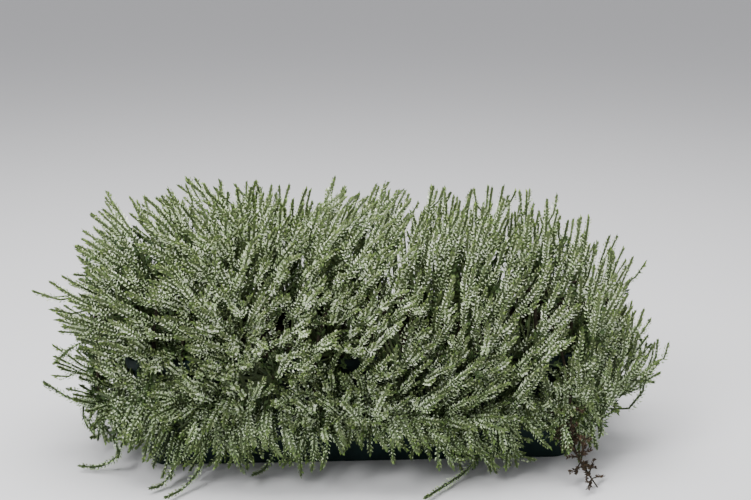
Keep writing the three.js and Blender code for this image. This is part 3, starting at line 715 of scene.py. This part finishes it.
def grow_lines(tips, sprays, leans, groups):
    """A line to each tip from the nearest spray, added to that spray's group."""
    middles = np.array([spray.middle for spray in sprays])
    roots = root_behind(tips)
    apart = np.linalg.norm(roots[:, None] - middles[None], axis=2)
    order = np.argsort(apart, axis=1)
    nearest = np.take_along_axis(apart, order[:, :2], axis=1)
    crease = np.clip(1 - (nearest[:, 1] - nearest[:, 0]) / CREASE_WIDTH, 0, 1) ** 2
    directions = shoot_directions(tips, roots, leans[order[:, 0]])
    reach = np.linalg.norm(tips - roots, axis=1, keepdims=True)
    roots = tips - unit(unit(tips - roots) + directions) * reach
    tips = tips - directions * (crease * CREASE_DEPTH)[:, None]
    lines = []
    for tip, direction, root, near in zip(tips, directions, roots, order[:, 0]):
        spray = sprays[near]
        curve = TIP_CURVE_HANGING if spray.hangs else TIP_CURVE
        before = tip - direction * curve - [0, 0, RNG.uniform(*UPTURN)]
        line = cubic((root_in(spray, root), root, before, tip), SHOOT_POINTS)
        groups[near].append(line)
        lines.append(line)
    return clear_of_planter(np.array(lines))


def bare_places(lines):
    """Places on the body with no shoot close over or under them."""
    shoots = lines[:, FLOWERING_POINTS].reshape(-1, 3)
    places = layer_tips(FILL)
    low, high = RIM_GAP_HEIGHTS
    over, under = FILL_NEAR
    bare = []
    for place, out in zip(places, outward(places)):
        gap = RIM_GAP if low < place[2] < high else FILL_GAP
        apart = place - shoots
        depth = apart @ out
        beside = np.sqrt(np.maximum((apart**2).sum(axis=1) - depth**2, 0))
        close = (depth > over) & (depth < under) & (beside < gap)
        if not close.any():
            bare.append(place)
            shoots = np.vstack([shoots, place])
    return np.array(bare)


def give_shoots(sprays):
    """Gives every spray the lines of its own shoots."""
    fringe, under, parting, outer = (layer_tips(layer) for layer in (FRINGE, UNDER, PARTING, OUTER))
    leans = lean_together(sprays)
    for spray in sprays:
        spray.outer, spray.inner, spray.strays = [], [], []
    outer_groups = [spray.outer for spray in sprays]
    inner_groups = [spray.inner for spray in sprays]
    outer_lines = grow_lines(np.vstack([outer, fringe]), sprays, leans, outer_groups)
    inner_lines = grow_lines(np.vstack([under, parting]), sprays, leans, inner_groups)
    grow_lines(bare_places(np.vstack([outer_lines, inner_lines])), sprays, leans, inner_groups)
    for plant, path in STRAYS:
        own = [spray for spray in sprays if spray.plant == plant]
        spray = min(own, key=lambda s: np.linalg.norm(s.middle - path[0]))
        root = root_in(spray, np.array(path[0], dtype=float))
        spray.strays.append(catmull([root, *path], SHOOT_POINTS))


def make_spray_piece(spray, materials):
    """All shoots of a spray, in place of its node."""
    builder = Builder()
    for group, kind in ((spray.outer, MAIN), (spray.inner, INNER), (spray.strays, STRAY)):
        if not group:
            continue
        lines = clear_of_planter(np.array(group))
        add_shoots(builder, lines, kind)
        twigs = np.stack([np.tile(spray.middle, (len(lines), 1)), lines[:, 0]], axis=1)
        add_tubes(builder, twigs, TWIG_RADIUS, STEM_SIDES, STEM)
        if kind is MAIN:
            add_shoots(builder, side_lines(lines), SIDE)
    add_heart(builder, spray)
    builder.finish(f"{spray.node}_shoots", materials, [spray.node])


# ------------------------------------------------------------ wood


def wobbly(line, size, seed):
    """A line with smooth small bends, fixed at both ends."""
    rng = np.random.default_rng(seed)
    share = np.linspace(0, 1, len(line))[:, None]
    waves = sum(rng.normal(0, 1 / k, 3) * np.sin(np.pi * k * share) for k in WAVES)
    return line + waves * size


def make_wood(plant, sprays, bark):
    """A plant's trunk and the branches that carry its sprays."""
    builder = Builder()
    x = PLANTS[plant]
    foot = SOIL_EDGE + SOIL_MOUND - TRUNK_DEPTH
    shares = np.linspace(0, 1, len(TRUNK_SHAPE))
    trunk = np.array([[[x, 0, mix(foot, CROWN_HEIGHT + TRUNK_OVER, share)] for share in shares]])
    add_tubes(builder, trunk, TRUNK_RADIUS * TRUNK_SHAPE, TRUNK_SIDES, 0)
    radii = mix(*BRANCH_RADIUS, np.linspace(0, 1, BRANCH_POINTS)) * BRANCH_SHARE
    for k, spray in enumerate(s for s in sprays if s.plant == plant):
        line = wobbly(bezier(spray.curve[None], BRANCH_POINTS)[0], BRANCH_WOBBLE, k + 1)
        add_tubes(builder, line[None], radii, BRANCH_SIDES, 0)
    builder.finish(f"{plant}_branches", [bark], [f"{plant}_woody_stems"], True)


def dead_twigs(line, rng):
    """Short twigs near the end of the dead shoot."""
    twigs = []
    for share in np.linspace(*DEAD_TWIG_PLACES, DEAD_TWIGS):
        start = line[int(share * (len(line) - 1))]
        end = start + unit(rng.normal(size=3) + DEAD_TWIG_LEAN) * rng.uniform(*DEAD_TWIG_LENGTH)
        end[2] = max(end[2], DEAD_LOWEST)
        twigs.append([start, (start + end) / 2 + DEAD_TWIG_ARCH, end])
    return bezier(np.array(twigs), DEAD_TWIG_POINTS)


def make_dead_shoot(bark, dry):
    """A bare shoot that has died back, with dry leaves at its end."""
    builder = Builder()
    line = wobbly(catmull(DEAD_SHOOT, DEAD_POINTS), DEAD_WOBBLE, DEAD_WOBBLE_SEED)
    add_tubes(builder, line[None], mix(*DEAD_RADIUS, np.linspace(0, 1, DEAD_POINTS)), DEAD_SIDES, 0)
    rng = np.random.default_rng(DEAD_SEED)
    twigs = dead_twigs(line, rng)
    radii = mix(*DEAD_TWIG_RADIUS, np.linspace(0, 1, DEAD_TWIG_POINTS))
    add_tubes(builder, twigs, radii, DEAD_TWIG_SIDES, 0)
    total = line_lengths(twigs)[:, -1:]
    distance = rng.uniform(*DEAD_LEAF_PLACES, (len(twigs), DEAD_LEAVES)) * total
    turns = rng.uniform(*DEAD_LEAF_TURNS, distance.shape)
    foot, direction, _ = outward_from(twigs, distance, turns, np.full(distance.shape, DEAD_LEAF_ANGLE))
    size = rng.uniform(*DEAD_LEAF_SIZES, distance.size)
    add_leaves(builder, foot.reshape(-1, 3), direction.reshape(-1, 3), size, 1)
    builder.finish("right_dead_shoot", [bark, dry])


# ------------------------------------------------------------ planter and soil


def rounded_ring(length, depth, corner, z):
    """A level rectangle of points with round corners."""
    ring = []
    for quarter, (sx, sy) in enumerate([(1, 1), (-1, 1), (-1, -1), (1, -1)]):
        for i in range(CORNER_STEPS + 1):
            angle = (quarter + i / CORNER_STEPS) * math.pi / 2
            ring.append((sx * (length / 2 - corner) + corner * math.cos(angle),
                         sy * (depth / 2 - corner) + corner * math.sin(angle), z))
    return np.array(ring)


def wall_ring(z, inset):
    """The trough's tapering wall at a height, moved in by an inset."""
    rise = z / PLANTER_HEIGHT
    length = mix(BASE_LENGTH, TOP_LENGTH, rise) - 2 * inset
    depth = mix(BASE_DEPTH, TOP_DEPTH, rise) - 2 * inset
    return rounded_ring(length, depth, mix(BASE_CORNER, TOP_CORNER, rise) - inset, z)


def make_planter(plastic):
    """The trough with a rolled rim and a moulded band low on its wall."""
    top, out = PLANTER_HEIGHT, -RIM_WIDTH
    bottom = top - RIM_HEIGHT
    rim = [(bottom - 4, 0), (bottom - 1, -1.2), (bottom, out + 0.6), (bottom + 0.6, out),
           (top - 2.4, out), (top - 0.8, out + 0.6), (top, out + 2.2), (top, WALL - 1), (top - 1, WALL)]
    inside_floor = (WALL, WALL)
    profile = [*FOOT_PROFILE, *BAND_PROFILE, *rim, inside_floor]
    builder = Builder()
    add_rings(builder, np.array([wall_ring(z, inset) for z, inset in profile]), 0)
    planter = builder.finish("planter_shell", [plastic], ["planter"], True)
    split = planter.modifiers.new("edges", "EDGE_SPLIT")
    split.split_angle = math.radians(SHARP_EDGE)


def add_crumbs(builder, rng):
    """Loose crumbs on the compost, each with six uneven corners."""
    x = rng.uniform(-1, 1, CRUMBS) * CRUMB_HALF_LENGTH
    y = rng.uniform(-1, 1, CRUMBS) * CRUMB_HALF_DEPTH
    edge = np.maximum(np.abs(x) / MOUND_HALF_LENGTH, np.abs(y) / MOUND_HALF_DEPTH)
    centre = np.stack([x, y, SOIL_EDGE + SOIL_MOUND * (1 - edge ** 2) + CRUMB_LIFT], axis=1)
    corners = (CRUMBS, len(CRUMB_CORNERS), 1)
    size = rng.uniform(*CRUMB_SIZES, (CRUMBS, 1, 1)) * rng.uniform(*CRUMB_SHAPES, corners)
    builder.add(centre[:, None] + CRUMB_CORNERS[None] * size, CRUMB_FACES, 0)


def make_soil(earth):
    """Mounded compost with loose crumbs on it."""
    rng = np.random.default_rng(SOIL_SEED)
    edge = wall_ring(SOIL_EDGE, WALL + SOIL_GAP)
    foot = WALL + SOIL_GAP_BELOW
    rings = [wall_ring(foot, foot), edge]
    for share in np.linspace(1, SOIL_MIDDLE, SOIL_RINGS)[1:]:
        ring = edge * [share, share, 1]
        rough = rng.normal(0, SOIL_ROUGHNESS, len(ring))
        ring[:, 2] = mix(SOIL_EDGE + SOIL_MOUND, SOIL_EDGE, share**2) + rough
        rings.append(ring)
    builder = Builder()
    add_rings(builder, np.array(rings), 0)
    add_crumbs(builder, rng)
    builder.finish("compost", [earth], ["soil"])


# ------------------------------------------------------------ materials

PATCH_STOPS = [(0.35, (0.8, 0.832, 0.736)), (0.62, (1, 1, 1))]   # of a plant's broad patches
LOW_SHADE_STOPS = [(0.03, (0.62, 0.68, 0.58)), (0.2, (1, 1, 1))]   # and of painted shade that darkens the lowest shoots, by height in metres


class Shading:
    """A material and the nodes that colour it."""

    def __init__(self, name, roughness, specular=0.3):
        self.material = bpy.data.materials.new(name)
        self.material.use_nodes = True
        self.nodes = self.material.node_tree.nodes
        self.link = self.material.node_tree.links.new
        self.shader = self.nodes["Principled BSDF"]
        self.shader.inputs["Roughness"].default_value = roughness
        self.shader.inputs["Specular IOR Level"].default_value = specular

    def place(self):
        return self.nodes.new("ShaderNodeTexCoord").outputs["Object"]

    def ramp(self, value, stops):
        node = self.nodes.new("ShaderNodeValToRGB")
        elements = node.color_ramp.elements
        while len(elements) < len(stops):
            elements.new(0.5)
        for element, (position, colour) in zip(elements, stops):
            element.position = position
            element.color = (*colour, 1)
        self.link(value, node.inputs["Fac"])
        return node.outputs["Color"]

    def noise(self, scale, detail=3):
        node = self.nodes.new("ShaderNodeTexNoise")
        node.inputs["Scale"].default_value = scale
        node.inputs["Detail"].default_value = detail
        self.link(self.place(), node.inputs["Vector"])
        return node.outputs["Fac"]

    def multiply(self, a, b):
        node = self.nodes.new("ShaderNodeMix")
        node.data_type = "RGBA"
        node.blend_type = "MULTIPLY"
        node.inputs["Factor"].default_value = 1
        self.link(a, node.inputs["A"])
        self.link(b, node.inputs["B"])
        return node.outputs["Result"]

    def bump(self, value, distance, strength=0.6):
        node = self.nodes.new("ShaderNodeBump")
        node.inputs["Distance"].default_value = distance
        node.inputs["Strength"].default_value = strength
        self.link(value, node.inputs["Height"])
        self.link(node.outputs["Normal"], self.shader.inputs["Normal"])

    def colour(self, value):
        self.link(value, self.shader.inputs["Base Color"])


def plant_material(name, colours):
    """Each small form has a shade of its own, broad patches are darker, and painted shade darkens the lowest
    shoots.
    """
    shading = Shading(name, roughness=0.6)
    island = shading.nodes.new("ShaderNodeNewGeometry").outputs["Random Per Island"]
    shade = shading.ramp(island, [(k / (len(colours) - 1), colour) for k, colour in enumerate(colours)])
    patch = shading.ramp(shading.noise(scale=16), PATCH_STOPS)
    # painted shade: a ramp on the height darkens the lowest shoots, as if in the shrub's own shadow
    split = shading.nodes.new("ShaderNodeSeparateXYZ")
    shading.link(shading.place(), split.inputs["Vector"])
    height = shading.ramp(split.outputs["Z"], LOW_SHADE_STOPS)
    shading.colour(shading.multiply(shading.multiply(shade, patch), height))
    return shading.material


def bark_material():
    shading = Shading("bark", roughness=0.85, specular=0.2)
    grain = shading.noise(scale=260, detail=6)
    # the bark's own dark brown with its grain, darkened further as painted shade so that wood in the shrub's
    # gaps reads dark
    shading.colour(shading.ramp(grain, [(0.3, (0.012, 0.010, 0.006)), (0.55, (0.030, 0.024, 0.015)),
                                        (0.75, (0.07, 0.056, 0.038))]))
    shading.bump(grain, distance=0.0006)
    return shading.material


def plastic_material():
    shading = Shading("moulded_plastic", roughness=0.55, specular=0.22)
    dust = shading.noise(scale=22, detail=5)
    # the trough's own dark teal-green with dust, darkened further as painted shade for where it lies under
    # the foliage
    shading.colour(shading.ramp(dust, [(0.35, (0.003, 0.011, 0.010)), (0.7, (0.006, 0.018, 0.017))]))
    shading.bump(shading.noise(scale=900, detail=2), distance=0.0001, strength=0.3)
    return shading.material


def earth_material():
    shading = Shading("compost_earth", roughness=0.95, specular=0.15)
    crumbs = shading.noise(scale=320, detail=6)
    shading.colour(shading.ramp(crumbs, [(0.3, (0.008, 0.006, 0.004)), (0.6, (0.024, 0.017, 0.011)),
                                         (0.8, (0.052, 0.038, 0.026))]))
    shading.bump(crumbs, distance=0.0012)
    return shading.material


def dry_material():
    return plant_material("dry_leaf", [(0.03, 0.017, 0.012), (0.08, 0.042, 0.026), (0.15, 0.085, 0.055)])


def foliage_materials():
    """A spray's materials, in the order of STEM, CALYX, PETAL, LEAF, YOUNG and CLOSED."""
    stem = plant_material("green_stem", [(0.05, 0.072, 0.028), (0.11, 0.145, 0.06)])
    calyx = plant_material("bud_calyx", [(0.08, 0.12, 0.05), (0.20, 0.27, 0.12)])
    petal = plant_material("bud_petal", [(0.24, 0.35, 0.14), (0.50, 0.64, 0.34), (0.75, 0.86, 0.57),
                                         (0.88, 0.96, 0.75), (0.94, 0.99, 0.86)])
    closed = plant_material("closed_bud", [(0.16, 0.20, 0.08), (0.38, 0.44, 0.22), (0.74, 0.80, 0.56)])
    leaf = plant_material("green_leaf", [(0.022, 0.042, 0.014), (0.050, 0.088, 0.028), (0.09, 0.145, 0.05)])
    young = plant_material("young_leaf", [(0.10, 0.16, 0.04), (0.17, 0.26, 0.07), (0.25, 0.35, 0.09)])
    return [stem, calyx, petal, leaf, young, closed]


# ------------------------------------------------------------ stage: camera, floor and light, in metres

CAMERA_PLACE = (-0.0306, -1.2078, 0.635)
CAMERA_FORWARD = (0.03997, 0.95361, -0.29837)
SENSOR_WIDTH = 36               # millimetres
FOCAL_PIXELS = 1000             # the photo's focal length, with its width in pixels
PHOTO_WIDTH = 751
FURTHEST_SEEN = 100
FLOOR_HALF_SIZE = 30
FLOOR_COLOUR = (0.64, 0.64, 0.65, 1)
SKY_COLOUR, SKY_STRENGTH = (0.97, 0.97, 1, 1), 0.68
LIGHT_AIM = (0, 0, 0.15)


def aim_at(thing, place, direction):
    """Puts a camera or light at a place, turns it to look along a direction and shows it."""
    thing.location = place
    thing.rotation_euler = direction.to_track_quat("-Z", "Y").to_euler()
    bpy.context.scene.collection.objects.link(thing)


def make_camera():
    data = bpy.data.cameras.new("camera")
    data.sensor_width = SENSOR_WIDTH
    data.lens = FOCAL_PIXELS * SENSOR_WIDTH / PHOTO_WIDTH
    data.clip_end = FURTHEST_SEEN
    camera = bpy.data.objects.new("camera", data)
    aim_at(camera, CAMERA_PLACE, Vector(CAMERA_FORWARD))
    bpy.context.scene.camera = camera


def make_floor():
    size = FLOOR_HALF_SIZE
    mesh = bpy.data.meshes.new("floor")
    corners = [(-size, -size, 0), (size, -size, 0), (size, size, 0), (-size, size, 0)]
    mesh.from_pydata(corners, [], [(0, 1, 2, 3)])
    floor = bpy.data.objects.new("floor", mesh)
    bpy.context.scene.collection.objects.link(floor)
    shading = Shading("pale_floor", roughness=0.7, specular=0.2)
    shading.shader.inputs["Base Color"].default_value = FLOOR_COLOUR
    mesh.materials.append(shading.material)


def add_softbox(name, place, size, power):
    data = bpy.data.lights.new(name, "AREA")
    data.shape = "RECTANGLE"
    data.size, data.size_y = size
    data.energy = power
    aim_at(bpy.data.objects.new(name, data), place, Vector(LIGHT_AIM) - Vector(place))


def make_light():
    world = bpy.data.worlds.new("studio")
    world.use_nodes = True
    background = world.node_tree.nodes["Background"]
    background.inputs["Color"].default_value = SKY_COLOUR
    background.inputs["Strength"].default_value = SKY_STRENGTH
    bpy.context.scene.world = world
    add_softbox("softbox_top", place=(0.0, -0.1, 2.2), size=(2.2, 0.9), power=89)
    add_softbox("softbox_left", place=(-1.3, -1.4, 2.0), size=(0.8, 0.8), power=54)


# ------------------------------------------------------------ the scene

make_camera()
make_floor()
make_light()

bark = bark_material()
make_planter(plastic_material())
make_soil(earth_material())

sprays = make_sprays()
for plant in PLANTS:
    make_wood(plant, sprays, bark)
make_dead_shoot(bark, dry_material())

materials = foliage_materials()
give_shoots(sprays)
for spray in sprays:
    make_spray_piece(spray, materials)
